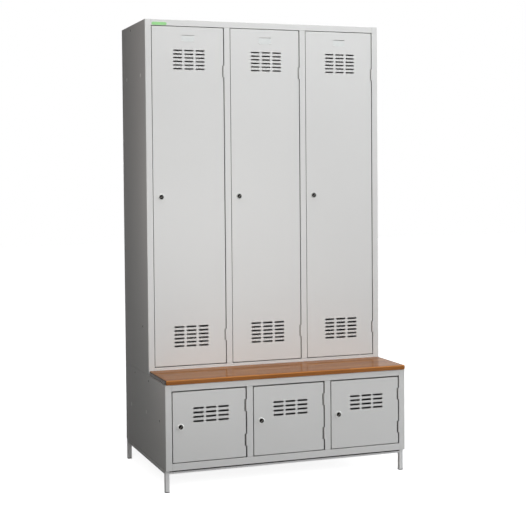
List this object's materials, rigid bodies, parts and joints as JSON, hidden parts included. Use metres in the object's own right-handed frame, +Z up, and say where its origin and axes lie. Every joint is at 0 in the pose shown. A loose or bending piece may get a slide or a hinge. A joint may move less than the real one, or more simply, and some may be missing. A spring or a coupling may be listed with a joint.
{
  "type": "locker with bench",
  "caption": "Steel cloakroom locker: tall compartments over low ones, a wooden seat board in front of the tall doors, and a tube base.",
  "frame": {"origin": "on the floor, at the centre of the outline seen from above", "axes": "+X to the right as seen from the front, +Y to the back, +Z up; the doors face -Y"},
  "size_m": [1.2, 0.773, 2.18],
  "materials": {
    "paint": "satin powder coat, light grey",
    "board": "varnished laminated strips",
    "knob": "black, satin",
    "zinc": "zinc plated",
    "foot_plastic": "matt"
  },
  "bodies": {
    "cabinet": {"base_frame": "paint", "bench_board": "board", "clothes_rail_left": "zinc", "clothes_rail_middle": "zinc", "clothes_rail_right": "zinc", "foot_cap_front_left": "foot_plastic", "foot_cap_back_left": "foot_plastic", "foot_cap_front_right": "foot_plastic", "foot_cap_back_right": "foot_plastic", "hat_shelf_left": "paint", "hat_shelf_middle": "paint", "hat_shelf_right": "paint", "upper_side_left": "paint", "upper_side_right": "paint", "upper_top": "paint", "upper_bottom": "paint", "upper_back": "paint", "upper_post_1": "paint", "upper_post_2": "paint", "upper_partition_1": "paint", "upper_partition_2": "paint", "lower_side_left": "paint", "lower_side_right": "paint", "lower_top": "paint", "lower_bottom": "paint", "lower_back": "paint", "lower_post_1": "paint", "lower_post_2": "paint", "lower_partition_1": "paint", "lower_partition_2": "paint"},
    "upper_left_door_body": {"upper_left_door": "paint", "upper_left_latch_body": "zinc", "upper_left_card_holder": "paint", "upper_left_stiffener": "paint"},
    "upper_left_latch": {"upper_left_latch_knob": "knob", "upper_left_latch_cam": "zinc"},
    "upper_middle_door_body": {"upper_middle_door": "paint", "upper_middle_latch_body": "zinc", "upper_middle_card_holder": "paint", "upper_middle_stiffener": "paint"},
    "upper_middle_latch": {"upper_middle_latch_knob": "knob", "upper_middle_latch_cam": "zinc"},
    "upper_right_door_body": {"upper_right_door": "paint", "upper_right_latch_body": "zinc", "upper_right_card_holder": "paint", "upper_right_stiffener": "paint"},
    "upper_right_latch": {"upper_right_latch_knob": "knob", "upper_right_latch_cam": "zinc"},
    "lower_left_door_body": {"lower_left_door": "paint", "lower_left_latch_body": "zinc"},
    "lower_left_latch": {"lower_left_latch_knob": "knob", "lower_left_latch_cam": "zinc"},
    "lower_middle_door_body": {"lower_middle_door": "paint", "lower_middle_latch_body": "zinc"},
    "lower_middle_latch": {"lower_middle_latch_knob": "knob", "lower_middle_latch_cam": "zinc"},
    "lower_right_door_body": {"lower_right_door": "paint", "lower_right_latch_body": "zinc"},
    "lower_right_latch": {"lower_right_latch_knob": "knob", "lower_right_latch_cam": "zinc"}
  },
  "joints": [
    {"name": "upper_left_door_hinge", "type": "hinge", "parent": "cabinet", "child": "upper_left_door_body", "pos_m": [-0.2115, -0.0835, 0.5327], "axis": [0, 0, 1], "range_deg": [0, 110]},
    {"name": "upper_left_latch_turn", "type": "hinge", "parent": "upper_left_door_body", "child": "upper_left_latch", "pos_m": [-0.5295, -0.0835, 1.3411], "axis": [0, -1, 0], "range_deg": [-20, 70]},
    {"name": "upper_middle_door_hinge", "type": "hinge", "parent": "cabinet", "child": "upper_middle_door_body", "pos_m": [0.1785, -0.0835, 0.5327], "axis": [0, 0, 1], "range_deg": [0, 110]},
    {"name": "upper_middle_latch_turn", "type": "hinge", "parent": "upper_middle_door_body", "child": "upper_middle_latch", "pos_m": [-0.1395, -0.0835, 1.3411], "axis": [0, -1, 0], "range_deg": [-45, 45]},
    {"name": "upper_right_door_hinge", "type": "hinge", "parent": "cabinet", "child": "upper_right_door_body", "pos_m": [0.5685, -0.0835, 0.5327], "axis": [0, 0, 1], "range_deg": [0, 110]},
    {"name": "upper_right_latch_turn", "type": "hinge", "parent": "upper_right_door_body", "child": "upper_right_latch", "pos_m": [0.2505, -0.0835, 1.3411], "axis": [0, -1, 0], "range_deg": [-45, 45]},
    {"name": "lower_left_door_hinge", "type": "hinge", "parent": "cabinet", "child": "lower_left_door_body", "pos_m": [-0.2115, -0.3765, 0.1377], "axis": [0, 0, 1], "range_deg": [0, 110]},
    {"name": "lower_left_latch_turn", "type": "hinge", "parent": "lower_left_door_body", "child": "lower_left_latch", "pos_m": [-0.5295, -0.3765, 0.30085], "axis": [0, -1, 0], "range_deg": [-45, 45]},
    {"name": "lower_middle_door_hinge", "type": "hinge", "parent": "cabinet", "child": "lower_middle_door_body", "pos_m": [0.1785, -0.3765, 0.1377], "axis": [0, 0, 1], "range_deg": [0, 110]},
    {"name": "lower_middle_latch_turn", "type": "hinge", "parent": "lower_middle_door_body", "child": "lower_middle_latch", "pos_m": [-0.1395, -0.3765, 0.30085], "axis": [0, -1, 0], "range_deg": [-45, 45]},
    {"name": "lower_right_door_hinge", "type": "hinge", "parent": "cabinet", "child": "lower_right_door_body", "pos_m": [0.5685, -0.3765, 0.1377], "axis": [0, 0, 1], "range_deg": [0, 110]},
    {"name": "lower_right_latch_turn", "type": "hinge", "parent": "lower_right_door_body", "child": "lower_right_latch", "pos_m": [0.2505, -0.3765, 0.30085], "axis": [0, -1, 0], "range_deg": [-45, 45]}
  ]
}
